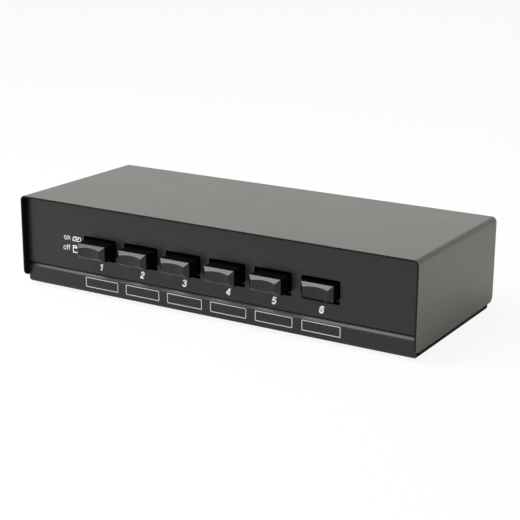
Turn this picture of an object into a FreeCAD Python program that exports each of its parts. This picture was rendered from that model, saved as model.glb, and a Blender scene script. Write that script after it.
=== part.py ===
import FreeCAD, Part

import math
import os

V = FreeCAD.Vector

# Six-way loudspeaker selector in a folded steel case, in millimetres.
# +X is to the right seen from the front, +Y to the rear, +Z up. The origin is the centre of
# the whole selector's bottom, where its feet stand.

# Case
case_width = 250.0          # across the cover
case_depth = 100.0          # cover, front edge to rear edge
case_height = 52.0          # underside of the chassis to the top of the cover
sheet = 1.0                 # thickness of the folded steel
cover_bend = 3.0            # outside radius of the cover's two long bends
cover_lift = 4.1            # cover's lower edge above the chassis underside
cover_corner = 3.5          # rounding of the side walls' lower corners
panel_inset = 3.7           # front and rear walls behind the cover's edges
side_gap = 0.25             # chassis to the cover's side walls
top_gap = 0.3               # chassis walls to the cover's top
chassis_bend = 2.0          # outside radius of the chassis bends
chassis_corner = 2.0        # rounding of the chassis' lower corners, seen from the front
lip_height = 4.4            # low side lips of the chassis
lip_setback = 4.0           # lip's ends behind the front and rear walls' faces
lip_relief = 1.0            # notch in the floor at each end of a lip

# V-shaped stiffening groove along the front wall
groove_low = 9.5            # lower edge above the chassis underside
groove_height = 3.0
groove_depth = 1.5

# Buttons, in a row of six
button_count = 6
button_pitch = 28.15
row_offset = -0.8           # middle of the row from the middle of the case
button_z = 27.1             # above the chassis underside
window_width = 22.6
window_height = 12.7
window_corner = 1.0
cap_width = 19.1
cap_height = 8.8
cap_reach = 6.7             # released cap's face in front of the cover's edge
cap_length = 15.0
cap_bevel = 2.3             # inset and depth of the four bevels round the face
cap_dish = 0.75             # hollow of the face
cap_wall = 1.2
cap_boss_width = 7.0        # block inside the cap that grips the plunger
latch_travel = 4.4          # from released to latched
latched_button = 6          # this one is pressed in

# Push-push switches
switch_width = 15.0
switch_length = 24.0
switch_height = 11.0
switch_chamfer = 1.0        # along the two long upper edges
switch_gap = 6.0            # back of a released cap's travel to the switch's neck
neck_width = 9.0
neck_height = 8.0
neck_length = 3.0
plunger_width = 5.0
plunger_height = 4.0
plunger_length = 34.0
plunger_tip_width = 4.0     # slim end that the cap is pushed on
plunger_tip_height = 3.2
plunger_tip_length = 8.0
plunger_slack = 0.15        # plunger in its bore, each side
bore_spare = 6.5            # free bore behind a released plunger
press_slack = 0.02          # cap on its plunger, each side

# Circuit board on its pillars
board_thickness = 1.6
board_from_sides = 7.0      # board's ends inside the cover's outer faces
board_front = 10.0          # board's front edge behind the cover's edge
board_setback = 0.8         # board's rear edge to the terminal blocks
pillar_across_flats = 5.5
pillar_from_sides = 25.0    # outer columns inside the cover's outer faces; the third is in the middle
pillar_front = 28.0         # front row behind the cover's edge
pillar_rear = 68.0          # rear row behind the cover's edge

# Screws, one size all through, in plain form: head and shank with a dozen sides
screw_sides = 12
screw_radius = 1.5
screw_length = 6.0
head_radius = 2.8
head_height = 1.8
hole_slack = 0.1            # clearance round a screw
hole_depth = 8.0            # tapped into a pillar

# Cover's lugs and the raised seats that they are screwed to
lug_width = 14.0
lug_reach = 17.0            # from the side wall inwards
lug_rise = 10.0
lug_bend = 1.5
seat_rise = 3.6             # seat above the chassis floor
seat_top_width = 10.0
seat_foot_width = 14.0
lug_from_ends = 32.0        # lug's middle from the cover's front and rear edges
lug_hole_in = 11.0          # screw from the cover's side wall

# Feet
foot_height = 2.0
foot_radius = 6.0
foot_from_sides = 26.0
foot_from_ends = 18.0

# Terminal blocks on the rear wall: one input and six outputs, each of two by two clips
channels = ("in", "1", "2", "3", "4", "5", "6")
block_from_sides = 9.0      # outermost bezels inside the cover's outer faces
block_z = 26.0              # middle of the blocks above the chassis underside
bezel_width = 31.0
bezel_height = 41.0
bezel_thickness = 3.0
bezel_corner = 1.5          # corners cut off
body_width = 26.0
body_height = 37.0
body_depth = 14.0           # block's body in front of the rear wall's outer face
cutout_slack = 0.2
clip_pitch_x = 11.2
clip_pitch_z = 18.4
bay_width = 10.4
bay_height = 17.0
bay_depth = 1.0
wire_width = 3.4            # square hole for the bared wire
wire_drop = 5.3             # wire hole under a clip's middle
wire_depth = 9.0
funnel_width = 5.0          # square mouth that guides the wire in
funnel_depth = 0.9
hook_width = 6.0
hook_height = 0.9
hook_length = 3.0

# Levers of the clips
lever_width = 8.6
lever_slack = 0.3           # lever to the slot, each side
pivot_depth = 4.0           # pivot behind the bezel's face
pivot_rise = 5.5            # pivot above a clip's middle
hub_radius = 1.6
hub_slack = 0.15            # hub to the round seat that it rocks in
lever_reach = 10.2          # pivot to the lever's tip
lever_drop = 4.6            # pivot to the lever's underside
lever_tip_top = 2.6         # pivot down to the top of the tip
lever_tip_thick = 1.5
lever_tip_slant = 0.5
lever_heel = 1.0            # chamfer of the lower inner edge
lever_angle = 15.0          # full travel, in degrees
slot_back = 3.5             # pivot to the slot's inner wall
seat_drop = 2.5             # pivot down to where the slot is at its full depth
slot_room = 0.6             # pressed lever to the slot's lower edge
pad_hollow = 0.7            # hollow of the thumb pad

# Solder tags between the blocks and the board
tag_width = 3.0
tag_thickness = 0.8
tag_run_upper = 3.0
tag_run_lower = 6.5
tag_through = 1.0           # beyond the board
tag_slack = 0.1

# Places worked out from the sizes above
base_z = foot_height
cover_top = base_z + case_height
rear_reach = lever_reach - pivot_depth + bezel_thickness - panel_inset
cover_front = (cap_reach - case_depth - rear_reach) / 2
cover_rear = cover_front + case_depth
front_face = cover_front + panel_inset
rear_face = cover_rear - panel_inset
wall_top = cover_top - sheet - top_gap
chassis_half = case_width / 2 - sheet - side_gap
floor_top = base_z + sheet
seat_top = floor_top + seat_rise
button_axis = base_z + button_z
board_top = button_axis - switch_height / 2
board_under = board_top - board_thickness
block_axis = base_z + block_z
bezel_face = rear_face + bezel_thickness
block_back = rear_face - body_depth
block_pitch = (case_width - 2 * block_from_sides - bezel_width) / (len(channels) - 1)
pillar_columns = (-case_width / 2 + pillar_from_sides, 0.0, case_width / 2 - pillar_from_sides)
switch_front = cover_front - cap_reach + cap_length + switch_gap + neck_length
pillar_rows = (cover_front + pillar_front, cover_front + pillar_rear)


def box(x0, x1, y0, y1, z0, z1):
    """Solid box between two corners."""
    return Part.makeBox(x1 - x0, y1 - y0, z1 - z0, V(x0, y0, z0))


def bar(x, z, width, height, y0, y1):
    """Solid box along Y, centred at (x, z)."""
    return box(x - width / 2, x + width / 2, y0, y1, z - height / 2, z + height / 2)


def prism(sides, radius, x, y, z0, z1):
    """Upright prism of a regular polygon with its corners at radius."""
    turns = [2 * math.pi * k / sides for k in range(sides + 1)]
    points = [V(x + radius * math.cos(a), y + radius * math.sin(a), z0) for a in turns]
    return Part.Face(Part.makePolygon(points)).extrude(V(0, 0, z1 - z0))


def screw_hole(x, y, z0, z1):
    """Clearance hole of a screw, to be cut out."""
    return prism(screw_sides, screw_radius + hole_slack, x, y, z0, z1)


def tapered(near_width, far_width, length):
    """Square solid that tapers along +Y from the origin."""
    near, far = near_width / 2, far_width / 2
    return Part.makeWedge(-near, 0, -near, -far, -far, near, length, near, far, far)


def in_xz(y):
    """Places an outline's points in the plane across the case at y."""
    return lambda u, v: V(u, y, v)


def in_yz(x):
    """Places an outline's points in the plane along the case's depth at x."""
    return lambda u, v: V(x, u, v)


def outline(corners, place):
    """Closed face through corners (u, v) or (u, v, radius), with tangent arcs at the radii."""
    count = len(corners)
    points = [FreeCAD.Vector(c[0], c[1], 0) for c in corners]
    edges = []
    ends = []
    for i, corner in enumerate(corners):
        radius = corner[2] if len(corner) > 2 else 0
        here = points[i]
        if radius == 0:
            ends.append((here, here, None))
            continue
        back = (points[i - 1] - here).normalize()
        ahead = (points[(i + 1) % count] - here).normalize()
        half = back.getAngle(ahead) / 2
        middle = (back + ahead).normalize()
        centre = here + middle * (radius / math.sin(half))
        tangent = radius / math.tan(half)
        ends.append((here + back * tangent, here + ahead * tangent, centre - middle * radius))
    for i, (start, end, mid) in enumerate(ends):
        if mid is not None:
            edges.append(Part.Arc(*[place(p.x, p.y) for p in (start, mid, end)]).toShape())
        following = ends[(i + 1) % count][0]
        if end.distanceToPoint(following) > 1e-6:
            edges.append(Part.LineSegment(place(end.x, end.y), place(following.x, following.y)).toShape())
    return Part.Face(Part.Wire(edges))


def panel_cut(x, z, width, height, corner, y0, y1):
    """Prism along Y with rounded corners, centred at (x, z)."""
    w, h = width / 2, height / 2
    corners = [(x - w, z - h, corner), (x + w, z - h, corner), (x + w, z + h, corner), (x - w, z + h, corner)]
    return outline(corners, in_xz(y0)).extrude(V(0, y1 - y0, 0))


def bezel_form(x, z):
    """Flat bezel with its four corners cut off."""
    w, h = bezel_width / 2, bezel_height / 2
    cw, ch = w - bezel_corner, h - bezel_corner
    corners = [(-cw, -h), (cw, -h), (w, -ch), (w, ch), (cw, h), (-cw, h), (-w, ch), (-w, -ch)]
    face = outline([(x + u, z + v) for u, v in corners], in_xz(rear_face))
    return face.extrude(V(0, bezel_thickness, 0))


def button_x(number):
    """Middle of button 1 to 6."""
    return row_offset + button_pitch * (number - (button_count + 1) / 2)


def block_x(index):
    """Middle of a terminal block; the input is the first one seen from the rear."""
    return block_pitch * ((len(channels) - 1) / 2 - index)


def clip_places(index):
    """Name, x and z of the four clips of a block: left over right, red beside black."""
    for side, row in (("left", 1), ("right", -1)):
        for pole, column in (("red", -1), ("black", 1)):
            x = block_x(index) + column * clip_pitch_x / 2
            z = block_axis + row * clip_pitch_z / 2
            yield f"{channels[index]}_{side}_{pole}", x, z


def lug_places():
    """Side (-1 or 1) and y of the four lugs."""
    for side in (-1, 1):
        for y in (cover_front + lug_from_ends, cover_rear - lug_from_ends):
            yield side, y


def lug_screw_x(side):
    return side * (case_width / 2 - sheet - lug_hole_in)


def make_top_cover():
    """Folded cover: top, two side walls and four lugs welded inside them."""
    half = case_width / 2
    low = base_z + cover_lift
    profile = [
        (-half, low), (-half, cover_top, cover_bend), (half, cover_top, cover_bend), (half, low),
        (half - sheet, low), (half - sheet, cover_top - sheet, cover_bend - sheet),
        (-half + sheet, cover_top - sheet, cover_bend - sheet), (-half + sheet, low),
    ]
    cover = outline(profile, in_xz(cover_front)).extrude(V(0, case_depth, 0))
    side_view = [
        (cover_front, low, cover_corner), (cover_rear, low, cover_corner),
        (cover_rear, cover_top + sheet), (cover_front, cover_top + sheet),
    ]
    cover = cover.common(outline(side_view, in_yz(-half)).extrude(V(case_width, 0, 0)))
    for side, y in lug_places():
        wall = side * (half - sheet)
        inner = wall - side * sheet
        tip = wall - side * lug_reach
        lug_top = seat_top + lug_rise
        lug = [
            (tip, seat_top), (wall, seat_top, lug_bend), (wall, lug_top),
            (inner, lug_top), (inner, seat_top + sheet, lug_bend - sheet), (tip, seat_top + sheet),
        ]
        cover = cover.fuse(outline(lug, in_xz(y - lug_width / 2)).extrude(V(0, lug_width, 0)))
        cover = cover.cut(screw_hole(lug_screw_x(side), y, floor_top, seat_top + 2 * sheet))
    return cover.removeSplitter()


def chassis_side_view(inset):
    """Chassis seen from the side, its walls, bends and groove taken in by inset."""
    low = base_z + inset
    bend = chassis_bend - inset
    front = front_face + inset
    rear = rear_face - inset
    groove = base_z + groove_low
    corners = [
        (front, low, bend), (rear, low, bend), (rear, wall_top), (front, wall_top),
        (front, groove + groove_height), (front + groove_depth, groove + groove_height / 2), (front, groove),
    ]
    return outline(corners, in_yz(-chassis_half)).extrude(V(2 * chassis_half, 0, 0))


def make_lip(side):
    """Low lip bent up from one end of the floor."""
    end = side * chassis_half
    inner = end - side * sheet
    root = end - side * chassis_bend
    top = base_z + lip_height
    profile = [
        (root, base_z), (end, base_z, chassis_bend), (end, top),
        (inner, top), (inner, floor_top, chassis_bend - sheet), (root, floor_top),
    ]
    length = rear_face - front_face - 2 * lip_setback
    return outline(profile, in_xz(front_face + lip_setback)).extrude(V(0, length, 0))


def make_seat(x, y):
    """Square seat pressed up out of the floor, and the hollow under it."""
    raised = tapered(seat_foot_width, seat_top_width, seat_rise)
    hollow = tapered(seat_foot_width - 2 * sheet, seat_top_width - 2 * sheet, seat_rise)
    for form, z in ((raised, floor_top), (hollow, base_z)):
        form.rotate(V(0, 0, 0), V(1, 0, 0), 90)
        form.translate(V(x, y, z))
    return raised, hollow


def make_chassis():
    """Folded tray: grooved front wall, floor, rear wall and two low side lips."""
    corner = cover_bend - sheet
    end_view = [
        (-chassis_half, base_z, chassis_corner), (chassis_half, base_z, chassis_corner),
        (chassis_half, wall_top, corner), (-chassis_half, wall_top, corner),
    ]
    ends = outline(end_view, in_xz(front_face)).extrude(V(0, rear_face - front_face, 0))
    chassis = chassis_side_view(0).common(ends).cut(chassis_side_view(sheet))
    for side in (-1, 1):
        ends = sorted((side * chassis_half, side * (chassis_half - chassis_bend)))
        setback = lip_setback - lip_relief
        notch = box(*ends, front_face + setback, rear_face - setback, base_z, floor_top)
        chassis = chassis.cut(notch).fuse(make_lip(side))
    for number in range(1, button_count + 1):
        window = panel_cut(button_x(number), button_axis, window_width, window_height, window_corner,
                           front_face - sheet, front_face + 2 * sheet)
        chassis = chassis.cut(window)
    for index in range(len(channels)):
        width, height = body_width + 2 * cutout_slack, body_height + 2 * cutout_slack
        cutout = bar(block_x(index), block_axis, width, height, rear_face - 2 * sheet, rear_face + sheet)
        chassis = chassis.cut(cutout)
    for side, y in lug_places():
        x = lug_screw_x(side)
        raised, hollow = make_seat(x, y)
        chassis = chassis.fuse(raised).cut(hollow).cut(screw_hole(x, y, base_z, seat_top + sheet))
    for x, y in pillar_places():
        chassis = chassis.cut(pillar_form(x, y, base_z, floor_top))
    return chassis.removeSplitter()


def make_feet():
    """Round rubber feet, stuck under the chassis."""
    x = case_width / 2 - foot_from_sides
    return [
        Part.makeCylinder(foot_radius, foot_height, V(side * x, y, 0))
        for side in (-1, 1)
        for y in (cover_front + foot_from_ends, cover_rear - foot_from_ends)
    ]


def make_screw(x, y, z, direction):
    """Screw at the seat of its head at z, its shank running up (1) or down (-1)."""
    head = prism(screw_sides, head_radius, x, y, z, z - direction * head_height)
    return head.fuse(prism(screw_sides, screw_radius, x, y, z, z + direction * screw_length)).removeSplitter()


def pillar_places():
    return [(x, y) for x in pillar_columns for y in pillar_rows]


def make_screws():
    """Four from below hold the cover's lugs, and one on every pillar holds the board."""
    lugs = [make_screw(lug_screw_x(side), y, seat_top - sheet, 1) for side, y in lug_places()]
    return lugs + [make_screw(x, y, board_top, -1) for x, y in pillar_places()]


def pillar_form(x, y, z0, z1):
    """Hexagon of a pillar, also the hole in the floor that it is pressed into."""
    return prism(6, pillar_across_flats / 2 / math.cos(math.pi / 6), x, y, z0, z1)


def make_pillar(x, y):
    """Hexagonal pillar, flush with the chassis underside and tapped from above."""
    return pillar_form(x, y, base_z, board_under).cut(screw_hole(x, y, board_under - hole_depth, board_under))


def tag_path(upper):
    """Distance of a tag's upright from the block, and the way that it points."""
    run = tag_run_upper if upper else tag_run_lower
    return block_back - run, -1 if upper else 1


def make_tag(x, clip_z):
    """Bent solder tag from the back of a clip to the board and through it."""
    upper = clip_z > block_axis
    upright, way = tag_path(upper)
    z = clip_z - wire_drop
    end = board_under - tag_through if upper else board_top + tag_through
    half = tag_thickness / 2
    profile = [
        (block_back, z - way * half), (block_back, z + way * half),
        (upright + tag_thickness, z + way * half), (upright + tag_thickness, end),
        (upright, end), (upright, z - way * half),
    ]
    return outline(profile, in_yz(x - tag_width / 2)).extrude(V(tag_width, 0, 0))


def all_clips():
    for index in range(len(channels)):
        yield from clip_places(index)


def make_board():
    """Plain board with holes for the pillars' screws and slots for the tags."""
    end = case_width / 2 - board_from_sides
    board = box(-end, end, cover_front + board_front, block_back - board_setback, board_under, board_top)
    holes = [screw_hole(x, y, board_under, board_top) for x, y in pillar_places()]
    for _, x, z in all_clips():
        upright, _ = tag_path(z > block_axis)
        w = tag_width / 2 + tag_slack
        holes.append(box(x - w, x + w, upright - tag_slack, upright + tag_thickness + tag_slack,
                         board_under, board_top))
    return board.cut(Part.makeCompound(holes))


def make_switch(number):
    """Switch housing with its neck, and the bore that the plunger slides in."""
    x = button_x(number)
    half = switch_width / 2
    low, high = board_top, board_top + switch_height
    shoulder = half - switch_chamfer
    end_view = [
        (x - half, low), (x + half, low), (x + half, high - switch_chamfer), (x + shoulder, high),
        (x - shoulder, high), (x - half, high - switch_chamfer),
    ]
    housing = outline(end_view, in_xz(switch_front)).extrude(V(0, switch_length, 0))
    neck_front = switch_front - neck_length
    neck = bar(x, button_axis, neck_width, neck_height, neck_front, switch_front)
    bore = bar(x, button_axis, plunger_width + 2 * plunger_slack, plunger_height + 2 * plunger_slack,
               neck_front, plunger_back() + bore_spare)
    return housing.fuse(neck).cut(bore).removeSplitter()


def cap_face(number):
    """y of a cap's face at rest."""
    pressed = latch_travel if number == latched_button else 0
    return cover_front - cap_reach + pressed


def plunger_front():
    """y of a released plunger's tip, inside its cap."""
    return cover_front - cap_reach + cap_bevel + cap_wall


def plunger_back():
    return plunger_front() + plunger_length


def make_plunger(number):
    """Square bar whose slim end carries the cap."""
    x = button_x(number)
    start = plunger_front() + cap_face(number) - cap_face(1)
    shoulder = start + plunger_tip_length
    tip = bar(x, button_axis, plunger_tip_width, plunger_tip_height, start, shoulder)
    rest = bar(x, button_axis, plunger_width, plunger_height, shoulder, start + plunger_length)
    return tip.fuse(rest).removeSplitter()


def make_cap(number):
    """Moulded cap: four bevels round a hollowed face, a skirt and a block that grips the plunger."""
    x = button_x(number)
    face = cap_face(number)
    bevel_back = face + cap_bevel
    back = face + cap_length
    inner = bevel_back + cap_wall
    cap = bar(x, button_axis, cap_width, cap_height, face, back)
    front_edges = [edge for edge in cap.Edges if all(abs(v.Y - face) < 1e-6 for v in edge.Vertexes)]
    cap = cap.makeChamfer(cap_bevel, front_edges)
    chord = cap_width / 2 - cap_bevel
    dish_radius = (chord ** 2 + cap_dish ** 2) / (2 * cap_dish)
    dish_axis = V(x, face + cap_dish - dish_radius, button_axis - cap_height / 2)
    cap = cap.cut(Part.makeCylinder(dish_radius, cap_height, dish_axis))
    hollow_height = cap_height - 2 * cap_wall
    hollow = bar(x, button_axis, cap_width - 2 * cap_wall, hollow_height, inner, back)
    boss = bar(x, button_axis, cap_boss_width, hollow_height, inner, inner + plunger_tip_length)
    socket = bar(x, button_axis, plunger_tip_width + 2 * press_slack, plunger_tip_height + 2 * press_slack,
                 inner, back)
    return cap.cut(hollow).fuse(boss).cut(socket).removeSplitter()


def lever_profile(pivot_y, pivot_z, x):
    """Side view of a lever: round hub, hollowed thumb pad and blunt tip."""
    tip = pivot_y + lever_reach
    lip = pivot_y + pivot_depth
    back = pivot_y - hub_radius
    top = pivot_z + hub_radius
    under = pivot_z - lever_drop
    tip_top = pivot_z - lever_tip_top
    tip_low = tip_top - lever_tip_thick
    place = in_yz(x)
    fall = V(tip - lip, tip_top - top, 0)
    inward = V(fall.y, -fall.x, 0).normalize()
    pad = V((lip + tip) / 2, (top + tip_top) / 2, 0) + inward * pad_hollow
    slant = hub_radius * math.sin(math.pi / 4)
    hub_top, hub_back = place(pivot_y, top), place(back, pivot_z)
    lip_top, tip_end = place(lip, top), place(tip, tip_top)
    straight = Part.makePolygon([
        hub_back, place(back, under + lever_heel), place(back + lever_heel, under), place(lip, under),
        place(tip - lever_tip_slant, tip_low), tip_end,
    ])
    hub = Part.Arc(hub_top, place(pivot_y - slant, pivot_z + slant), hub_back).toShape()
    thumb = Part.Arc(tip_end, place(pad.x, pad.y), lip_top).toShape()
    roof = Part.LineSegment(lip_top, hub_top).toShape()
    return Part.Face(Part.Wire([hub, *straight.Edges, thumb, roof]))


def make_lever(x, clip_z):
    """Lever of one clip, which rocks about its hub."""
    profile = lever_profile(bezel_face - pivot_depth, clip_z + pivot_rise, x - lever_width / 2)
    return profile.extrude(V(lever_width, 0, 0))


def lever_slot(x, clip_z):
    """Slot of one lever, to be cut out: a round seat behind the hub, then room for the heel and the pad."""
    pivot_y = bezel_face - pivot_depth
    pivot_z = clip_z + pivot_rise
    turn = math.radians(lever_angle)
    low = pivot_z - pivot_depth * math.sin(turn) - lever_drop * math.cos(turn) - slot_room
    seat = hub_radius + hub_slack
    slant = seat * math.sin(math.pi / 4)
    half = lever_width / 2 + lever_slack
    place = in_yz(x - half)
    inner = pivot_y - slot_back
    seat_top_end, seat_back_end = place(pivot_y, pivot_z + seat), place(pivot_y - seat, pivot_z)
    round_seat = Part.Arc(seat_top_end, place(pivot_y - slant, pivot_z + slant), seat_back_end).toShape()
    straight = Part.makePolygon([
        seat_back_end, place(inner, pivot_z - seat_drop), place(inner, low),
        place(bezel_face, low), place(bezel_face, pivot_z + seat), seat_top_end,
    ])
    return Part.Face(Part.Wire([round_seat, *straight.Edges])).extrude(V(2 * half, 0, 0))


def wire_hole(x, clip_z):
    """Square hole of one clip with its tapered mouth, to be cut out."""
    z = clip_z - wire_drop
    mouth = bezel_face - bay_depth
    hole = bar(x, z, wire_width, wire_width, mouth - wire_depth, mouth)
    funnel = tapered(wire_width, funnel_width, funnel_depth)
    funnel.translate(V(x, mouth - funnel_depth, z))
    return hole.fuse(funnel)


def make_block(index):
    """Moulded block: bezel with four sunk bays, lever slots, wire holes and two snap hooks."""
    x = block_x(index)
    body = bar(x, block_axis, body_width, body_height, block_back, rear_face)
    block = body.fuse(bezel_form(x, block_axis))
    wall_inside = rear_face - sheet
    for way in (-1, 1):
        edge = block_axis + way * body_height / 2
        peak = edge + way * hook_height
        hook = [(wall_inside, edge), (wall_inside, peak), (wall_inside - hook_length, edge)]
        block = block.fuse(outline(hook, in_yz(x - hook_width / 2)).extrude(V(hook_width, 0, 0)))
    for _, clip_x, clip_z in clip_places(index):
        bay = bar(clip_x, clip_z, bay_width, bay_height, bezel_face - bay_depth, bezel_face)
        block = block.cut(bay).cut(lever_slot(clip_x, clip_z)).cut(wire_hole(clip_x, clip_z))
    return block.removeSplitter()


def make_nodes():
    """Every node of the selector by name."""
    nodes = {
        "top_cover": make_top_cover(),
        "chassis": make_chassis(),
        "circuit_board": make_board(),
        "board_pillars": Part.makeCompound([make_pillar(x, y) for x, y in pillar_places()]),
        "case_screws": Part.makeCompound(make_screws()),
        "rubber_feet": Part.makeCompound(make_feet()),
        "solder_tags": Part.makeCompound([make_tag(x, z) for _, x, z in all_clips()]),
    }
    for number in range(1, button_count + 1):
        nodes[f"switch_{number}"] = make_switch(number)
        nodes[f"plunger_{number}"] = make_plunger(number)
        nodes[f"button_{number}"] = make_cap(number)
    for index, channel in enumerate(channels):
        nodes[f"terminal_block_{channel}"] = make_block(index)
    for name, x, z in all_clips():
        nodes[f"lever_{name}"] = make_lever(x, z)
    return nodes


def main():
    os.makedirs("parts", exist_ok=True)
    for name, shape in make_nodes().items():
        shape.exportStep(f"parts/{name}.step")
        print(name, len(shape.Solids), shape.isValid(), round(shape.Volume, 2))


main()
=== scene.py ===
import math

import bmesh
import bpy
from mathutils import Matrix, Vector


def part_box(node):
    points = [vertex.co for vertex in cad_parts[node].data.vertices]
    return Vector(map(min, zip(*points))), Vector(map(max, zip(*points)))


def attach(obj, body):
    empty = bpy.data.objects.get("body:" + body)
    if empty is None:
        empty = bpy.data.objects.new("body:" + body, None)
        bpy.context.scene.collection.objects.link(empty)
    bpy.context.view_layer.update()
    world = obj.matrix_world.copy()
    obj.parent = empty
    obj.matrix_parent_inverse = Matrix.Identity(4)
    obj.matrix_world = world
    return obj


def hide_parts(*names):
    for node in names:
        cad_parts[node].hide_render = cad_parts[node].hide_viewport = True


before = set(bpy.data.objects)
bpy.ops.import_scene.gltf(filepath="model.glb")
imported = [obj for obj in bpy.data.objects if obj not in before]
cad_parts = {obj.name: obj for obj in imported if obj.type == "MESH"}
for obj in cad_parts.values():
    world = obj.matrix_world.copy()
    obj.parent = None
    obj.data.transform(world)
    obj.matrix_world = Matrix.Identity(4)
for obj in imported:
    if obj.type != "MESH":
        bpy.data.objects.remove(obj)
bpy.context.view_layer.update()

mm = 0.001
touching = 0.001 * mm                   # nearer than this counts as the same place
flat = math.radians(1)                  # faces that bend less than this are one face
facing = 0.9                            # share of its normal along the axis that a face looks along
caseBody = "case"                       # body of everything that doesn't move
buttonNumbers = [1, 2, 3, 4, 5, 6]
channels = ["in", "1", "2", "3", "4", "5", "6"]
clipNames = [f"{channel}_{side}_{pole}" for channel in channels for side in ("left", "right")
             for pole in ("red", "black")]
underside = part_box("chassis")[0].z
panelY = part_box("chassis")[0].y         # face of the front wall


cameraSetup = {
    "place": (0.37357, -0.60669, 0.23112),      # metres
    "azimuth": 31.215,                          # degrees to the right of the front
    "elevation": 16.304,
    "roll": 0.321,
    "lens": 91.27,                              # mm
}


def makeCamera():
    azimuth, elevation = math.radians(cameraSetup["azimuth"]), math.radians(cameraSetup["elevation"])
    back = Vector((math.sin(azimuth) * math.cos(elevation), -math.cos(azimuth) * math.cos(elevation),
                   math.sin(elevation)))
    right = Vector((math.cos(azimuth), math.sin(azimuth), 0))
    turn = Matrix((right, back.cross(right), back)).transposed()
    turn = turn @ Matrix.Rotation(math.radians(cameraSetup["roll"]), 3, "Z")
    data = bpy.data.cameras.new("camera")
    data.lens = cameraSetup["lens"]
    camera = bpy.data.objects.new("camera", data)
    camera.matrix_world = Matrix.Translation(cameraSetup["place"]) @ turn.to_4x4()
    bpy.context.scene.collection.objects.link(camera)
    bpy.context.scene.camera = camera


makeCamera()
print("camera ready")


def newGroup(name, inputs, outputs):
    group = bpy.data.node_groups.new(name, "ShaderNodeTree")
    for socketName, kind, value in inputs:
        group.interface.new_socket(socketName, in_out="INPUT", socket_type=kind).default_value = value
    for socketName, kind in outputs:
        group.interface.new_socket(socketName, in_out="OUTPUT", socket_type=kind)
    return group, group.nodes.new("NodeGroupInput").outputs, group.nodes.new("NodeGroupOutput").inputs


def noiseIn(group, place, scale, detail, roughness=0.5):
    noise = group.nodes.new("ShaderNodeTexNoise")
    noise.inputs["Detail"].default_value = detail
    noise.inputs["Roughness"].default_value = roughness
    group.links.new(place, noise.inputs["Vector"])
    group.links.new(scale, noise.inputs["Scale"])
    return noise.outputs["Fac"]


def makeFinishGroup():
    # fine grain, and slow clouding of colour and gloss, of a painted or moulded surface
    group, ins, outs = newGroup("surfaceFinish", [
        ("Base", "NodeSocketColor", (0.1, 0.1, 0.1, 1)),
        ("Clouded", "NodeSocketColor", (0.2, 0.2, 0.2, 1)),
        ("Smooth", "NodeSocketFloat", 0.4),
        ("Rough", "NodeSocketFloat", 0.5),
        ("Grain Scale", "NodeSocketFloat", 1500.0),
        ("Cloud Scale", "NodeSocketFloat", 60.0),
    ], [("Color", "NodeSocketColor"), ("Roughness", "NodeSocketFloat"), ("Height", "NodeSocketFloat")])
    place = group.nodes.new("ShaderNodeTexCoord").outputs["Object"]
    grain = noiseIn(group, place, ins["Grain Scale"], detail=2.0)
    clouds = noiseIn(group, place, ins["Cloud Scale"], detail=4.0, roughness=0.6)
    colour = group.nodes.new("ShaderNodeMix")
    colour.data_type = "RGBA"
    gloss = group.nodes.new("ShaderNodeMapRange")
    group.links.new(clouds, colour.inputs["Factor"])
    group.links.new(ins["Base"], colour.inputs["A"])
    group.links.new(ins["Clouded"], colour.inputs["B"])
    group.links.new(clouds, gloss.inputs["Value"])
    group.links.new(ins["Smooth"], gloss.inputs["To Min"])
    group.links.new(ins["Rough"], gloss.inputs["To Max"])
    group.links.new(colour.outputs["Result"], outs["Color"])
    group.links.new(gloss.outputs["Result"], outs["Roughness"])
    group.links.new(grain, outs["Height"])
    return group


finishGroup = makeFinishGroup()


def makeFinish(name, base, clouded, gloss, grain, cloudScale, metallic=0.0, specular=0.5, tint=(1, 1, 1)):
    material = bpy.data.materials.new(name)
    material.use_nodes = True
    nodes, links = material.node_tree.nodes, material.node_tree.links
    shader = nodes["Principled BSDF"]
    shader.inputs["Metallic"].default_value = metallic
    shader.inputs["Specular IOR Level"].default_value = specular
    shader.inputs["Specular Tint"].default_value = (*tint, 1)
    surface = nodes.new("ShaderNodeGroup")
    surface.node_tree = finishGroup
    (smooth, rough), (grainScale, strength, depth) = gloss, grain
    for socket, value in (("Base", (*base, 1)), ("Clouded", (*clouded, 1)), ("Smooth", smooth), ("Rough", rough),
                          ("Grain Scale", grainScale), ("Cloud Scale", cloudScale)):
        surface.inputs[socket].default_value = value
    relief = nodes.new("ShaderNodeBump")
    relief.inputs["Strength"].default_value = strength
    relief.inputs["Distance"].default_value = depth * mm
    links.new(surface.outputs["Color"], shader.inputs["Base Color"])
    links.new(surface.outputs["Roughness"], shader.inputs["Roughness"])
    links.new(surface.outputs["Height"], relief.inputs["Height"])
    links.new(relief.outputs["Normal"], shader.inputs["Normal"])
    return material


# each grain's scale, strength and depth in mm
sprayGrain = (1800, 0.25, 0.02)
polishGrain = (2500, 0.1, 0.005)
leverGrain = (2600, 0.15, 0.01)
metalGrain = (2200, 0.1, 0.01)

oliveTint = (1, 1, 0.89)

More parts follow.
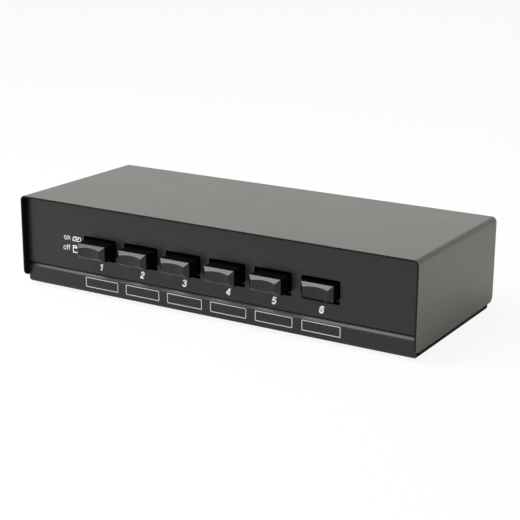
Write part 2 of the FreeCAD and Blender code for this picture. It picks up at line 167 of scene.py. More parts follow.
# in each, gloss is the roughness from smooth to rough, and tint the colour of the reflections
finishes = {
    "coverPaint": {"base": (0.038, 0.0392, 0.0295), "clouded": (0.043, 0.0442, 0.0345), "gloss": (0.32, 0.4),
                   "grain": sprayGrain, "cloudScale": 40, "specular": 1.0, "tint": oliveTint},
    # a darker, duller copy of the cover paint for the faces in the bends: a painted dark band along the bends
    "bendShadePaint": {"base": (0.0245, 0.0255, 0.0195), "clouded": (0.0295, 0.0305, 0.0245), "gloss": (0.32, 0.4),
                  "grain": sprayGrain, "cloudScale": 40, "specular": 0.6, "tint": oliveTint},
    # dark dull paint on the cover's cut edges: painted shade, the dark line under the cover's front edge
    "cutEdgeShadePaint": {"base": (0.005, 0.005, 0.005), "clouded": (0.007, 0.007, 0.007), "gloss": (0.4, 0.5),
                  "grain": sprayGrain, "cloudScale": 40, "specular": 0.13},
    # dark dull paint for the cover's inside and the chassis lips: painted shade in the front recess and under the
    # cover's sides
    "insideShadePaint": {"base": (0.003, 0.003, 0.003), "clouded": (0.005, 0.005, 0.005), "gloss": (0.5, 0.6),
                    "grain": sprayGrain, "cloudScale": 40, "specular": 0.08},
    "panelPaint": {"base": (0.0085, 0.009, 0.0095), "clouded": (0.0105, 0.011, 0.0115), "gloss": (0.28, 0.36),
                   "grain": sprayGrain, "cloudScale": 40, "specular": 0.39},
    "capPlastic": {"base": (0.0025, 0.0025, 0.0025), "clouded": (0.004, 0.004, 0.0035), "gloss": (0.19, 0.25),
                   "grain": polishGrain, "cloudScale": 120, "specular": 0.39},
    # nearly black plastic that reflects almost nothing, painted shade on the caps' sides inside the windows
    "capSideShadePlastic": {"base": (0.002, 0.002, 0.002), "clouded": (0.0035, 0.0035, 0.0035), "gloss": (0.4, 0.5),
                       "grain": (1500, 0.3, 0.02), "cloudScale": 120, "specular": 0.03},
    "plungerPlastic": {"base": (0.62, 0.6, 0.54), "clouded": (0.7, 0.68, 0.6), "gloss": (0.35, 0.5),
                       "grain": (2000, 0.1, 0.02), "cloudScale": 150},
    "switchPlastic": {"base": (0.03, 0.03, 0.032), "clouded": (0.045, 0.045, 0.045), "gloss": (0.4, 0.55),
                      "grain": (2200, 0.1, 0.02), "cloudScale": 150},
    "blockPlastic": {"base": (0.02, 0.02, 0.02), "clouded": (0.03, 0.03, 0.03), "gloss": (0.42, 0.55),
                     "grain": (2200, 0.3, 0.02), "cloudScale": 150},
    "leverRed": {"base": (0.5, 0.018, 0.015), "clouded": (0.58, 0.04, 0.03), "gloss": (0.25, 0.38),
                 "grain": leverGrain, "cloudScale": 200},
    "leverBlack": {"base": (0.018, 0.018, 0.018), "clouded": (0.03, 0.03, 0.03), "gloss": (0.25, 0.38),
                   "grain": leverGrain, "cloudScale": 200},
    "boardLaminate": {"base": (0.28, 0.2, 0.09), "clouded": (0.32, 0.24, 0.11), "gloss": (0.4, 0.55),
                      "grain": (900, 0.2, 0.02), "cloudScale": 200},
    "pillarBrass": {"base": (0.69, 0.5, 0.22), "clouded": (0.6, 0.42, 0.18), "gloss": (0.25, 0.4),
                    "grain": (2000, 0.1, 0.01), "cloudScale": 150, "metallic": 1.0},
    "screwZinc": {"base": (0.6, 0.6, 0.58), "clouded": (0.48, 0.48, 0.47), "gloss": (0.28, 0.42),
                  "grain": metalGrain, "cloudScale": 300, "metallic": 1.0},
    "contactTin": {"base": (0.74, 0.73, 0.7), "clouded": (0.6, 0.6, 0.58), "gloss": (0.3, 0.45),
                   "grain": metalGrain, "cloudScale": 300, "metallic": 1.0},
    "footRubber": {"base": (0.018, 0.018, 0.018), "clouded": (0.03, 0.03, 0.03), "gloss": (0.7, 0.85),
                   "grain": (1200, 0.4, 0.03), "cloudScale": 200},
    "printInk": {"base": (0.95, 0.95, 0.945), "clouded": (0.9, 0.9, 0.895), "gloss": (0.45, 0.55),
                 "grain": polishGrain, "cloudScale": 400},
    "frameInk": {"base": (0.6, 0.6, 0.6), "clouded": (0.5, 0.5, 0.5), "gloss": (0.45, 0.55),
                 "grain": polishGrain, "cloudScale": 400},
}
finish = {name: makeFinish(name, **values) for name, values in finishes.items()}
print("finishes ready:", len(finish))

innerFinishes = {"circuit_board": "boardLaminate", "board_pillars": "pillarBrass", "solder_tags": "contactTin"}
for number in buttonNumbers:
    innerFinishes[f"switch_{number}"] = "switchPlastic"
    innerFinishes[f"plunger_{number}"] = "plungerPlastic"
for nodeName, finishName in innerFinishes.items():
    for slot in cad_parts[nodeName].material_slots:
        slot.material = finish[finishName]
print("inner nodes painted:", len(innerFinishes))


def addPiece(name, bm, finishNames, body, nodes=(), smoothAngle=35):
    # a face's material index counts along finishNames
    mesh = bpy.data.meshes.new(name)
    bm.to_mesh(mesh)
    bm.free()
    mesh.shade_smooth()
    mesh.set_sharp_from_angle(angle=math.radians(smoothAngle))
    for finishName in finishNames:
        mesh.materials.append(finish[finishName])
    piece = bpy.data.objects.new(name, mesh)
    bpy.context.scene.collection.objects.link(piece)
    flatten = piece.modifiers.new("flatFaces", "WEIGHTED_NORMAL")
    flatten.keep_sharp = True
    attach(piece, body)
    if nodes:
        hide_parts(*nodes)


def joinInto(bm, part, place=Matrix.Identity(4)):
    # moves a finished part into a piece
    mesh = bpy.data.meshes.new("part")
    part.to_mesh(mesh)
    part.free()
    mesh.transform(place)
    bm.from_mesh(mesh)
    bpy.data.meshes.remove(mesh)


def vertsOf(geometry):
    # the vertices among what an operator gives back
    return [item for item in geometry if isinstance(item, bmesh.types.BMVert)]


def nodeShape(nodeName):
    # a node's shape as clean flat faces
    bm = bmesh.new()
    bm.from_mesh(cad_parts[nodeName].data)
    bmesh.ops.remove_doubles(bm, verts=bm.verts[:], dist=touching)
    bmesh.ops.dissolve_limit(bm, angle_limit=flat, verts=bm.verts[:], edges=bm.edges[:])
    return bm


def roundEdges(bm, radius, segments=2, sharpAngle=40):
    # rounds the outer edges that are sharper than the angle
    sharp = [edge for edge in bm.edges if edge.is_manifold and edge.is_convex
             and edge.calc_face_angle() > math.radians(sharpAngle)]
    bmesh.ops.bevel(bm, geom=sharp, offset=radius, affect="EDGES", segments=segments, profile=0.5, material=-1,
                    clamp_overlap=True)


sheetEdges = {
    "radius": 0.15 * mm,        # cut edges of the steel, rounded by the paint
    "bendCentre": 3.0 * mm,     # centre of the cover's bends from its faces
    "bendShade": (0.35, 0.96),  # rise of the faces in a bend that get the darker, duller paint: painted shade along the bend
    "cutFacing": 0.7,           # a cover's face that looks this much to the front or rear is a cut edge
    "wallDepth": 2.1 * mm,      # front and rear walls with their bends and groove
    "inwardFacing": 0.01,       # a wall's face that looks more than this to the inside gets the dark dull paint, painted shade
    "grooveMiddle": 11.0 * mm,  # height of the groove's valley above the chassis underside
    "grooveHalf": 2.0 * mm,     # its outer edges lie this near that height
    "grooveReach": 3.0 * mm,    # the groove with its inside lies this near the front wall's face
    "grooveRadius": 0.6 * mm,   # rounding of its outer edges
    "valleyHalf": 0.3 * mm,     # the valley's own edges lie this near its height
    "valleyRise": 0.4 * mm,     # the pressing leaves the valley a little high
}


def makeCover():
    # the outside gets the cover paint; the cut edges and the inside get dark dull paints and the bend faces a darker
    # one, all painted shade
    bm = nodeShape("top_cover")
    roundEdges(bm, sheetEdges["radius"])
    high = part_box("top_cover")[1]
    inset = sheetEdges["bendCentre"]
    shadeFrom, shadeTo = sheetEdges["bendShade"]
    for face in bm.faces:
        middle = face.calc_center_median()
        core = Vector((max(inset - high.x, min(high.x - inset, middle.x)), middle.y, min(middle.z, high.z - inset)))
        # painted shade: dark dull paint on the cut edges and the inside, and a darker paint on the bend faces
        if abs(face.normal.y) > sheetEdges["cutFacing"]:
            face.material_index = 1
        elif face.normal.dot(middle - core) < 0:
            face.material_index = 2
        elif (abs(middle.x) > high.x - inset and middle.z > high.z - inset
              and shadeFrom < face.normal.z < shadeTo):
            face.material_index = 3
    addPiece("steelCover", bm, ["coverPaint", "cutEdgeShadePaint", "insideShadePaint", "bendShadePaint"], caseBody,
             ["top_cover"])


def shapeGroove(bm):
    # raises the valley and rounds the groove's two outer edges
    valley = underside + sheetEdges["grooveMiddle"]
    for vert in bm.verts:
        if vert.co.y < panelY + sheetEdges["grooveReach"] and abs(vert.co.z - valley) < sheetEdges["valleyHalf"]:
            vert.co.z += sheetEdges["valleyRise"]
    rims = [edge for edge in bm.edges if abs(edge.verts[0].co.x - edge.verts[1].co.x) > mm
            and all(abs(vert.co.y - panelY) < touching and abs(vert.co.z - valley) < sheetEdges["grooveHalf"]
                    for vert in edge.verts)]
    bmesh.ops.bevel(bm, geom=rims, offset=sheetEdges["grooveRadius"], affect="EDGES", segments=4, profile=0.5,
                    material=-1)


def makeChassis():
    # the outer faces of the front and rear walls get the panel paint, the rest a dark dull paint that is painted shade
    # on the lips under the cover
    bm = nodeShape("chassis")
    shapeGroove(bm)
    roundEdges(bm, sheetEdges["radius"])
    low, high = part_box("chassis")
    for face in bm.faces:
        middle = face.calc_center_median()
        inWall = middle.y < low.y + sheetEdges["wallDepth"] or middle.y > high.y - sheetEdges["wallDepth"]
        inward = -face.normal.y * math.copysign(1, middle.y) > sheetEdges["inwardFacing"]
        # faces that don't get the panel paint get the dark dull inside paint: painted shade
        panelPainted = inWall and not inward and abs(face.normal.x) < facing
        face.material_index = 0 if panelPainted else 1
    addPiece("steelChassis", bm, ["panelPaint", "insideShadePaint"], caseBody, ["chassis"])


makeCover()
makeChassis()
print("case ready")


foot = {
    "radius": 0.5 * mm,       # rounding of the rubber
}


def makeFeet():
    bm = nodeShape("rubber_feet")
    roundEdges(bm, foot["radius"], segments=3)
    addPiece("rubberFeet", bm, ["footRubber"], caseBody, ["rubber_feet"])


makeFeet()
print("feet ready")


cap = {
    "bevel": 2.3 * mm,        # inset and depth of the slopes round the face
    "dish": 0.75 * mm,        # hollow of the face
    "dishSteps": 24,          # flats along the hollow
    "wall": 1.2 * mm,
    "edge": 0.22 * mm,        # rounding of the moulded edges
    "edgeAngle": 25,          # sharper ones are rounded, in degrees
    "glossDepth": 1.03,       # in bevels; the faces behind it get a nearly black, unreflecting plastic, painted shade on the cap's sides
    "bossWidth": 7.0 * mm,    # block inside that grips the plunger
    "bossLength": 8.1 * mm,
    "bossWall": 1.5 * mm,
    "bossRoot": 0.1 * mm,     # sunk into the cap's wall
}


def dishFace(bm, low, middle, size):
    # hollows the face to an arc, with its upper and lower edges drawn apart along the slopes
    half = size.x / 2 - cap["bevel"]
    radius = (half ** 2 + cap["dish"] ** 2) / (2 * cap["dish"])
    for step in range(1, cap["dishSteps"]):
        x = middle.x - half + 2 * half * step / cap["dishSteps"]
        bmesh.ops.bisect_plane(bm, geom=bm.verts[:] + bm.edges[:] + bm.faces[:], plane_co=(x, 0, 0), plane_no=(1, 0, 0))
    for vert in bm.verts:
        if vert.co.y < low.y + touching:
            across = vert.co.x - middle.x
            depth = math.sqrt(radius ** 2 - across ** 2) - (radius - cap["dish"])
            vert.co.y += depth
            vert.co.z += math.copysign(depth, vert.co.z - middle.z)


def hollowOut(bm, wall, depth):
    # opens a block from its rear face
    back = [face for face in bm.faces if face.normal.y > facing]
    bmesh.ops.inset_region(bm, faces=back, thickness=wall, use_even_offset=True)
    inward = bmesh.ops.extrude_face_region(bm, geom=back)["geom"]
    bmesh.ops.delete(bm, geom=back, context="FACES")
    bmesh.ops.translate(bm, verts=vertsOf(inward), vec=(0, -depth, 0))


def bossInto(bm, x, y, z, height):
    # hollow block behind the face, open to the rear
    boss, root = bmesh.new(), cap["bossRoot"]
    bmesh.ops.create_cube(boss, size=1, matrix=Matrix.Translation((x, y + cap["bossLength"] / 2 - root, z))
                          @ Matrix.Diagonal((cap["bossWidth"], cap["bossLength"], height + root, 1)))
    hollowOut(boss, cap["bossWall"], cap["bossLength"] - 2 * root)
    # the block takes the same nearly black plastic as the cap's sides, the painted shade
    for face in boss.faces:
        face.material_index = 1
    joinInto(bm, boss)


def makeCap(number):
    low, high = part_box(f"button_{number}")
    middle, size = (low + high) / 2, high - low
    bm = bmesh.new()
    bmesh.ops.create_cube(bm, size=1, matrix=Matrix.Translation(middle) @ Matrix.Diagonal((*size, 1)))
    front = [edge for edge in bm.edges if all(vert.co.y < middle.y for vert in edge.verts)]
    bmesh.ops.bevel(bm, geom=front, offset=cap["bevel"], affect="EDGES", segments=1, profile=0.5, material=-1)
    dishFace(bm, low, middle, size)
    hollowOut(bm, cap["wall"], size.y - cap["bevel"] - cap["wall"])
    bmesh.ops.recalc_face_normals(bm, faces=bm.faces[:])
    roundEdges(bm, cap["edge"], sharpAngle=cap["edgeAngle"])
    # painted shade: the cap's sides behind the slopes get the nearly black, unreflecting plastic
    for face in bm.faces:
        if face.calc_center_median().y > low.y + cap["glossDepth"] * cap["bevel"]:
            face.material_index = 1
    bossInto(bm, middle.x, low.y + cap["bevel"] + cap["wall"], middle.z, size.z - 2 * cap["wall"])
    addPiece(f"cap{number}", bm, ["capPlastic", "capSideShadePlastic"], f"button_{number}_body",
             [f"button_{number}"], smoothAngle=30)


for number in buttonNumbers:
    makeCap(number)
print("caps ready:", len(buttonNumbers))


block = {
    "edge": 0.2 * mm,
    "rowOffset": 9.2 * mm,       # clips above and below the middle
    "holeDrop": 5.3 * mm,        # wire hole under its clip
    "leafWidth": 2.6 * mm,       # contact leaf inside a wire hole
    "leafLength": 7.0 * mm,
    "leafThick": 0.35 * mm,
    "leafEdge": 0.1 * mm,
    "leafSlope": 14.0,           # degrees
    "leafDepth": 6.0 * mm,       # its middle behind the bezel's face
    "leafRise": 0.6 * mm,        # and above the hole's middle
}


def makeBlock(channel):
    bm = nodeShape(f"terminal_block_{channel}")
    roundEdges(bm, block["edge"])
    addPiece(f"clipBlock_{channel}", bm, ["blockPlastic"], caseBody, [f"terminal_block_{channel}"])


def makeLeaves():
    # springs that press on the bared wires
    bm = bmesh.new()
    for clipName in clipNames:
        channel, side = clipName.split("_")[:2]
        clipLow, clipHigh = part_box(f"lever_{clipName}")
        blockLow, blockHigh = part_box(f"terminal_block_{channel}")
        row = 1 if side == "left" else -1
        leaf = bmesh.new()
        bmesh.ops.create_cube(leaf, size=1, matrix=Matrix.Diagonal((block["leafWidth"], block["leafLength"],
                                                                    block["leafThick"], 1)))
        bmesh.ops.bevel(leaf, geom=leaf.edges[:], offset=block["leafEdge"], affect="EDGES", segments=2, profile=0.5,
                        material=-1)
        holeZ = (blockLow.z + blockHigh.z) / 2 + row * block["rowOffset"] - block["holeDrop"]
        place = Vector(((clipLow.x + clipHigh.x) / 2, blockHigh.y - block["leafDepth"], holeZ + block["leafRise"]))
        joinInto(bm, leaf, Matrix.Translation(place) @ Matrix.Rotation(math.radians(block["leafSlope"]), 4, "X"))
    addPiece("contactLeaves", bm, ["contactTin"], caseBody)


for channel in channels:
    makeBlock(channel)
makeLeaves()
print("terminal blocks ready:", len(channels))


lever = {
    "edge": 0.25 * mm,
    "edgeAngle": 50,             # sharper ones are rounded, in degrees
    "ridges": 3,
    "ridgeWidth": 6.4 * mm,
    "ridgeThick": 0.5 * mm,
    "ridgeHeight": 1.0 * mm,
    "ridgeEdge": 0.2 * mm,
    "ridgePitch": 1.3 * mm,
    "ridgeFromTip": 1.1 * mm,
    "tipDrop": 4.2 * mm,         # from the lip down to the tip's upper edge
    "padRun": 6.2 * mm,          # from the bezel's face out to the tip
    "hollow": 0.62 * mm,         # where the ridges stand, under the straight line of the pad
}


def makeLever(clipName):
    pole = clipName.split("_")[-1]
    nodeName = f"lever_{clipName}"
    low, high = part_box(nodeName)
    bm = nodeShape(nodeName)
    roundEdges(bm, lever["edge"], sharpAngle=lever["edgeAngle"])
    slope = math.atan2(lever["tipDrop"], lever["padRun"])
    tip = Vector(((low.x + high.x) / 2, high.y, high.z - lever["tipDrop"]))
    along = Vector((0, -math.cos(slope), math.sin(slope)))
    for index in range(lever["ridges"]):
        ridge = bmesh.new()
        bmesh.ops.create_cube(ridge, size=1, matrix=Matrix.Diagonal((lever["ridgeWidth"], lever["ridgeThick"],
                                                                     lever["ridgeHeight"], 1)))
        bmesh.ops.bevel(ridge, geom=ridge.edges[:], offset=lever["ridgeEdge"], affect="EDGES", segments=2,
                        profile=0.5, material=-1)
        place = tip + along * (lever["ridgeFromTip"] + lever["ridgePitch"] * index)
        joinInto(bm, ridge, Matrix.Translation(place) @ Matrix.Rotation(-slope, 4, "X")
                 @ Matrix.Translation((0, 0, -lever["hollow"])))
    addPiece(f"clipLever_{clipName}", bm, ["leverRed" if pole == "red" else "leverBlack"], f"lever_{clipName}_body",
             [nodeName])


for clipName in clipNames:
    makeLever(clipName)
print("levers ready:", len(clipNames))


screw = {
    "headRadius": 2.75 * mm,
    "headHeight": 1.78 * mm,
    # from the top's rim down to the seat, in head radii and head heights
    "headProfile": [(0.62, 1), (0.82, 0.9), (0.94, 0.68), (1, 0.35), (1, 0)],
    "shankRadius": 1.48 * mm,
    "threadDepth": 0.24 * mm,
    "threadPitch": 0.5 * mm,
    "threadStart": 0.4,          # first crest under the seat, in pitches
    "threads": 11,
    "crossWidth": 0.8 * mm,
    "crossReach": 1.55 * mm,
    "crossDepth": 1.15 * mm,
    "crossTaper": 0.55,          # size of its foot to its mouth
    "sides": 32,
    "lugPlaces": [(x * mm, y * mm) for x in (-113, 113) for y in (-17.4, 18.6)],
    "lugSeat": 5.6 * mm,         # under the heads of the four that hold the cover
    "boardPlaces": [(x * mm, y * mm) for x in (-100, 0, 100) for y in (-21.4, 18.6)],
    "boardSeat": 23.6 * mm,      # and of the six that hold the board
}


def cutBy(bm, cutter):
    # takes the cutter's shape out of bm
    items = []
    for shape in (bm, cutter):
        mesh = bpy.data.meshes.new("part")
        shape.to_mesh(mesh)
        shape.free()
        items.append(bpy.data.objects.new("part", mesh))
        bpy.context.scene.collection.objects.link(items[-1])
    cut = items[0].modifiers.new("cut", "BOOLEAN")
    cut.object = items[1]
    mesh = bpy.data.meshes.new_from_object(items[0].evaluated_get(bpy.context.evaluated_depsgraph_get()))
    result = bmesh.new()
    result.from_mesh(mesh)
    bpy.data.meshes.remove(mesh)
    for item in items:
        data = item.data
        bpy.data.objects.remove(item)
        bpy.data.meshes.remove(data)
    return result


def crossRecess():
    # four arms round a square, drawn in towards the foot, with its middle height at the origin
    cross, width = bmesh.new(), screw["crossWidth"]
    bmesh.ops.create_cube(cross, size=1, matrix=Matrix.Diagonal((width, width, 2 * screw["crossDepth"], 1)))
    sides = [face for face in cross.faces if abs(face.normal.z) < facing]
    for face in bmesh.ops.extrude_discrete_faces(cross, faces=sides)["faces"]:
        bmesh.ops.translate(cross, verts=face.verts[:], vec=face.normal * (screw["crossReach"] - width / 2))
    taper = screw["crossTaper"]
    bmesh.ops.scale(cross, verts=[vert for vert in cross.verts if vert.co.z < 0], vec=(taper, taper, 1))
    return cross


def screwShape():
    # threaded pan head screw with a cross recess, its seat at the origin and its head up
    height, shank = screw["headHeight"], screw["shankRadius"]
    outline = [(0, height)] + [(u * screw["headRadius"], v * height) for u, v in screw["headProfile"]] + [(shank, 0)]
    for turn in range(screw["threads"]):
        z = -(turn + screw["threadStart"]) * screw["threadPitch"]
        outline += [(shank, z), (shank - screw["threadDepth"], z - 0.5 * screw["threadPitch"])]
    outline.append((0, outline[-1][1]))
    bm = bmesh.new()
    verts = [bm.verts.new((x, 0, z)) for x, z in outline]
    edges = [bm.edges.new(pair) for pair in zip(verts, verts[1:])]
    bmesh.ops.spin(bm, geom=verts + edges, angle=math.tau, steps=screw["sides"], axis=(0, 0, 1), cent=(0, 0, 0),
                   use_merge=True)
    bmesh.ops.remove_doubles(bm, verts=bm.verts[:], dist=touching)
    bmesh.ops.recalc_face_normals(bm, faces=bm.faces[:])
    bmesh.ops.dissolve_limit(bm, angle_limit=flat, verts=bm.verts[:], edges=bm.edges[:])
    cross = crossRecess()
    bmesh.ops.translate(cross, verts=cross.verts[:], vec=(0, 0, height))
    return cutBy(bm, cross)


def makeScrews():
    # those of the cover go in from below, those of the board from above
    bm = bmesh.new()
    shape = screwShape()
    for places, seat, turn in ((screw["lugPlaces"], screw["lugSeat"], 180),
                               (screw["boardPlaces"], screw["boardSeat"], 0)):
        for x, y in places:
            joinInto(bm, shape.copy(), Matrix.Translation((x, y, seat)) @ Matrix.Rotation(math.radians(turn), 4, "X"))
    shape.free()
    addPiece("panHeadScrews", bm, ["screwZinc"], caseBody, ["case_screws"], smoothAngle=30)


makeScrews()
print("screws ready:", len(screw["lugPlaces"] + screw["boardPlaces"]))


printing = {
    "thick": 0.04 * mm,
    "middle": -0.2 * mm,          # middle of the printed row from the middle of the case
    "pitch": 28.15 * mm,
    "digitRise": 14.73 * mm,      # foot of the digits above the chassis underside
    "digitHeight": 3.95 * mm,
    "digitMiddle": 0.28,          # of a drawn digit, in digit heights
    "digitShift": 0.3 * mm,
    "digitStroke": 0.22,          # in digit heights
    "digitWidening": 1.14,
    "digitSlant": 0.21,           # lean to the right, in digit heights
    "labelRise": 6.4 * mm,
    "labelWidth": 22.75 * mm,
    "labelHeight": 5.8 * mm,
    "labelLine": 0.45 * mm,
    "labelCorner": 0.5 * mm,
    "signStroke": 0.31 * mm,
    "signWidening": 0.93,
    "iconStroke": 0.5 * mm,
    "strokeLift": 0.04,           # where two runs cross, one is this much thicker and so lies higher
}

# strokes of the digits, one high, as straight or smooth runs of points
digitStrokes = {
    1: [("straight", [(0.05, 0.74), (0.21, 0.78), (0.31, 0.96)]), ("straight", [(0.31, 0), (0.31, 1)])],
    2: [("smooth", [(0.09, 0.66), (0.16, 0.86), (0.31, 0.92), (0.47, 0.84), (0.48, 0.66), (0.33, 0.44), (0.13, 0.24),
                    (0.08, 0.08)]), ("straight", [(0.02, 0.085), (0.54, 0.085)])],
    3: [("smooth", [(0.08, 0.70), (0.16, 0.88), (0.30, 0.92), (0.45, 0.84), (0.44, 0.64), (0.25, 0.53)]),
        ("smooth", [(0.25, 0.54), (0.45, 0.46), (0.49, 0.25), (0.34, 0.09), (0.15, 0.11), (0.06, 0.29)])],
    4: [("straight", [(0.41, 0), (0.41, 1)]), ("straight", [(0.41, 0.95), (0.06, 0.30)]),
        ("straight", [(0.0, 0.29), (0.56, 0.29)])],
    5: [("straight", [(0.52, 0.915), (0.11, 0.915)]), ("straight", [(0.18, 0.99), (0.11, 0.44)]),
        ("smooth", [(0.10, 0.50), (0.28, 0.60), (0.45, 0.52), (0.50, 0.32), (0.40, 0.13), (0.24, 0.07),
                    (0.06, 0.24)])],
    6: [("smooth", [(0.49, 0.72), (0.41, 0.89), (0.27, 0.92), (0.12, 0.78), (0.08, 0.46), (0.11, 0.20), (0.28, 0.08),
                    (0.46, 0.18), (0.49, 0.34), (0.42, 0.52), (0.28, 0.58), (0.12, 0.44)])],
}

# strokes of the two words and their icons, in mm from the left end of each and its foot
letterO = ("ring", [(0.95, 0.0), (0.0, 1.08), (0.95, 2.16), (1.9, 1.08)])
wordStrokes = {
    "on": [letterO, ("straight", [(2.85, 0.0), (2.85, 2.3)]),
           ("smooth", [(2.85, 1.35), (3.3, 2.0), (4.0, 2.1), (4.4, 1.45), (4.4, 0.0)])],
    "off": [letterO, ("smooth", [(3.75, 2.9), (3.2, 2.85), (2.95, 2.3), (2.95, 0.0)]),
            ("straight", [(2.45, 2.05), (3.65, 2.05)]),
            ("smooth", [(5.1, 2.9), (4.55, 2.85), (4.3, 2.3), (4.3, 0.0)]),
            ("straight", [(3.85, 2.05), (5.0, 2.05)])],
}
iconStrokes = {
    "on": [("straight", [(0.6, 2.45), (0.05, 0.45), (0.2, 0.2), (5.7, 0.2), (6.1, 0.6), (6.1, 2.0), (5.7, 2.35),
                         (0.5, 2.4)]),
           ("straight", [(1.6, 1.3), (4.6, 1.3)])],
    "off": [("straight", [(0.25, 4.2), (0.25, 0.05)]), ("straight", [(0.05, 0.25), (6.3, 0.25)]),
            ("straight", [(0.2, 4.0), (2.9, 4.0)]), ("straight", [(0.2, 2.9), (2.9, 2.9)]),
            ("straight", [(2.8, 4.2), (2.8, 2.7)])],
}
# left end and foot of each word, then of its icon
signPlaces = {
    "on": (-96.65 * mm, 29.4 * mm, -90.55 * mm, 29.2 * mm),
    "off": (-97.3 * mm, 23.4 * mm, -90.6 * mm, 22.4 * mm),
}


def onPanel(x, z):
    # turns a flat drawing upright on the front wall, with its origin at x and z
    return Matrix.Translation((x, panelY, z)) @ Matrix.Rotation(math.radians(90), 4, "X")


def makeNib(width):
    # flat cross section of a stroke
    curve = bpy.data.curves.new("nib", "CURVE")
    edge = curve.splines.new("POLY")
    edge.points.add(3)
    edge.use_cyclic_u = True
    for point, (u, v) in zip(edge.points, ((-1, -1), (1, -1), (1, 1), (-1, 1))):
        point.co = (u * width / 2, v * printing["thick"] / 2, 0, 1)
    nib = bpy.data.objects.new("nib", curve)
    bpy.context.scene.collection.objects.link(nib)
    return nib


def strokesInto(bm, strokes, size, width, place, widening=1.0, slant=0.0):
    # sweeps a flat nib along every run of points
    nib = makeNib(width)
    curve = bpy.data.curves.new("strokes", "CURVE")
    curve.dimensions = "3D"
    curve.twist_mode = "Z_UP"
    curve.resolution_u = 5
    curve.bevel_mode = "OBJECT"
    curve.bevel_object = nib
    curve.use_fill_caps = True
    for index, (kind, points) in enumerate(strokes):
        run = curve.splines.new("BEZIER")
        run.bezier_points.add(len(points) - 1)
        run.use_cyclic_u = kind == "ring"
        for knot, (u, v) in zip(run.bezier_points, points):
            knot.co = ((u * widening + slant * (v - 0.5)) * size, v * size, 0)
            knot.radius = 1 + printing["strokeLift"] * index
            knot.handle_left_type = knot.handle_right_type = "VECTOR" if kind == "straight" else "AUTO"
    drawn = bpy.data.objects.new("strokes", curve)
    bpy.context.scene.collection.objects.link(drawn)
    mesh = bpy.data.meshes.new_from_object(drawn.evaluated_get(bpy.context.evaluated_depsgraph_get()))
    swept = bmesh.new()
    swept.from_mesh(mesh)
    bpy.data.meshes.remove(mesh)
    bmesh.ops.remove_doubles(swept, verts=swept.verts[:], dist=touching)
    bmesh.ops.recalc_face_normals(swept, faces=swept.faces[:])
    joinInto(bm, swept, place)
    for item in (drawn, nib):
        data = item.data
        bpy.data.objects.remove(item)
        bpy.data.curves.remove(data)


def labelInto(bm, x, z):
    # outline with rounded corners
    ring = bmesh.new()
    bmesh.ops.create_grid(ring, x_segments=1, y_segments=1, size=0.5,
                          matrix=Matrix.Diagonal((printing["labelWidth"], printing["labelHeight"], 1, 1)))
    bmesh.ops.bevel(ring, geom=ring.verts[:], offset=printing["labelCorner"], affect="VERTICES", segments=4,
                    profile=0.5, material=-1)
    inner = ring.faces[:]
    bmesh.ops.inset_region(ring, faces=inner, thickness=printing["labelLine"], use_even_offset=True,
                           use_boundary=True)
    bmesh.ops.delete(ring, geom=inner, context="FACES")
    raised = bmesh.ops.extrude_face_region(ring, geom=ring.faces[:])["geom"]
    bmesh.ops.translate(ring, verts=vertsOf(raised), vec=(0, 0, printing["thick"]))
    bmesh.ops.recalc_face_normals(ring, faces=ring.faces[:])
    joinInto(bm, ring, onPanel(x, z) @ Matrix.Translation((0, 0, -printing["thick"] / 2)))


def makeFrontPrint():
    digits, labels, signs = bmesh.new(), bmesh.new(), bmesh.new()
    height, widening = printing["digitHeight"], printing["digitWidening"]
    middleNumber = sum(buttonNumbers) / len(buttonNumbers)
    for number in buttonNumbers:
        x = printing["middle"] + printing["pitch"] * (number - middleNumber)
        left = x + printing["digitShift"] - printing["digitMiddle"] * height * widening
        strokesInto(digits, digitStrokes[number], height, printing["digitStroke"] * height,
                    onPanel(left, underside + printing["digitRise"]), widening, printing["digitSlant"])
        labelInto(labels, x, underside + printing["labelRise"])
    for word, (wordX, wordZ, iconX, iconZ) in signPlaces.items():
        strokesInto(signs, wordStrokes[word], mm, printing["signStroke"], onPanel(wordX, underside + wordZ),
                    printing["signWidening"])
        strokesInto(signs, iconStrokes[word], mm, printing["iconStroke"], onPanel(iconX, underside + iconZ),
                    printing["signWidening"])
    addPiece("buttonNumbers", digits, ["printInk"], caseBody)
    addPiece("labelFrames", labels, ["frameInk"], caseBody)
    addPiece("onOffSigns", signs, ["printInk"], caseBody)


makeFrontPrint()
print("front print ready")


room = {
    "floorSize": 6.0,            # half its side, in metres
    "floorColor": (0.92, 0.92, 0.915),
    "floorRoughness": 0.9,
    "floorSpecular": 0.1,
    "floorGlow": 0.9,            # share of plain white that the camera sees in the floor
    "floorShine": 0.1,           # and that reflections see
    "skyBack": 0.4,              # diffuse light from behind
    "skyFront": 0.75,            # and from the front
    "skyTurn": (-0.8, 0.3),      # where along the depth it turns from the one to the other
    "lampTowards": (-0.42, -0.42, 0.8),
    "lampDistance": 1.2,         # along it, and below its size, in metres
    "lampWidth": 0.62,
    "lampHeight": 0.82,
    "lampPower": 11.6,           # watts
}


def plainRays(nodes, links, seen=1.0, mirrored=1.0):
    # share of plain white for camera rays, and for glossy and transmission rays
    path = nodes.new("ShaderNodeLightPath")
    total = None
    for name, share in (("Is Camera Ray", seen), ("Is Glossy Ray", mirrored), ("Is Transmission Ray", mirrored)):
        part = nodes.new("ShaderNodeMath")
        part.operation = "MULTIPLY_ADD"
        part.inputs[1].default_value = share
        part.inputs[2].default_value = 0
        part.use_clamp = True
        links.new(path.outputs[name], part.inputs[0])
        if total:
            links.new(total, part.inputs[2])
        total = part.outputs[0]
    return total


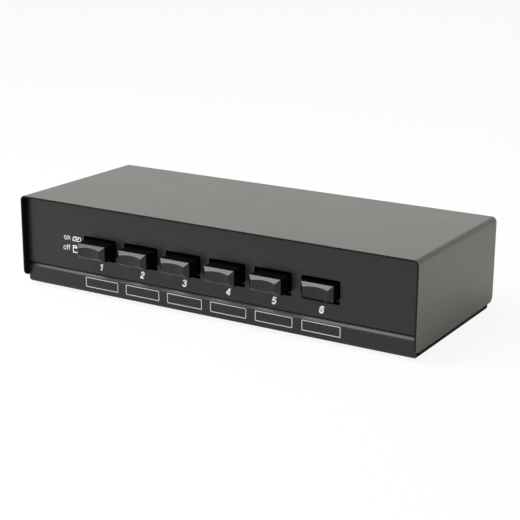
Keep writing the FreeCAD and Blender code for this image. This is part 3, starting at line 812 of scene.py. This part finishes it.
def makeFloor():
    bm = bmesh.new()
    bmesh.ops.create_grid(bm, x_segments=1, y_segments=1, size=room["floorSize"])
    mesh = bpy.data.meshes.new("floor")
    bm.to_mesh(mesh)
    bm.free()
    floor = bpy.data.objects.new("floor", mesh)
    bpy.context.scene.collection.objects.link(floor)
    material = bpy.data.materials.new("floorPaper")
    material.use_nodes = True
    nodes, links = material.node_tree.nodes, material.node_tree.links
    paper = nodes["Principled BSDF"]
    paper.inputs["Base Color"].default_value = (*room["floorColor"], 1)
    paper.inputs["Roughness"].default_value = room["floorRoughness"]
    paper.inputs["Specular IOR Level"].default_value = room["floorSpecular"]
    glow = nodes.new("ShaderNodeEmission")
    mix = nodes.new("ShaderNodeMixShader")
    links.new(plainRays(nodes, links, room["floorGlow"], room["floorShine"]), mix.inputs["Fac"])
    links.new(paper.outputs[0], mix.inputs[1])
    links.new(glow.outputs[0], mix.inputs[2])
    links.new(mix.outputs[0], nodes["Material Output"].inputs["Surface"])
    mesh.materials.append(material)


def makeWorld():
    world = bpy.data.worlds.new("studio")
    bpy.context.scene.world = world
    world.use_nodes = True
    world.cycles.sampling_method = "NONE"      # the light is even, so no ray needs to be aimed at it
    nodes, links = world.node_tree.nodes, world.node_tree.links
    nodes.clear()
    output = nodes.new("ShaderNodeOutputWorld")
    seen = nodes.new("ShaderNodeBackground")
    lit = nodes.new("ShaderNodeBackground")
    mix = nodes.new("ShaderNodeMixShader")
    direction = nodes.new("ShaderNodeTexCoord")
    split = nodes.new("ShaderNodeSeparateXYZ")
    ramp = nodes.new("ShaderNodeMapRange")
    links.new(direction.outputs["Generated"], split.inputs["Vector"])
    links.new(split.outputs["Y"], ramp.inputs["Value"])
    turnFrom, turnTo = room["skyTurn"]
    for socket, value in (("From Min", turnFrom), ("From Max", turnTo), ("To Min", room["skyFront"]),
                          ("To Max", room["skyBack"])):
        ramp.inputs[socket].default_value = value
    links.new(ramp.outputs["Result"], lit.inputs["Strength"])
    links.new(plainRays(nodes, links), mix.inputs["Fac"])
    links.new(lit.outputs[0], mix.inputs[1])
    links.new(seen.outputs[0], mix.inputs[2])
    links.new(mix.outputs[0], output.inputs["Surface"])
    for background in (seen, lit):
        background.inputs["Color"].default_value = (1, 1, 1, 1)


def makeLamp():
    data = bpy.data.lights.new("softbox", "AREA")
    data.shape = "RECTANGLE"
    data.size = room["lampWidth"]
    data.size_y = room["lampHeight"]
    data.energy = room["lampPower"]
    lamp = bpy.data.objects.new("softbox", data)
    towards = Vector(room["lampTowards"])
    turn = towards.to_track_quat("Z", "Y").to_matrix().to_4x4()
    lamp.matrix_world = Matrix.Translation(towards * room["lampDistance"]) @ turn
    bpy.context.scene.collection.objects.link(lamp)


makeFloor()
makeWorld()
makeLamp()
bpy.context.scene.view_settings.view_transform = "Standard"
print("room ready")
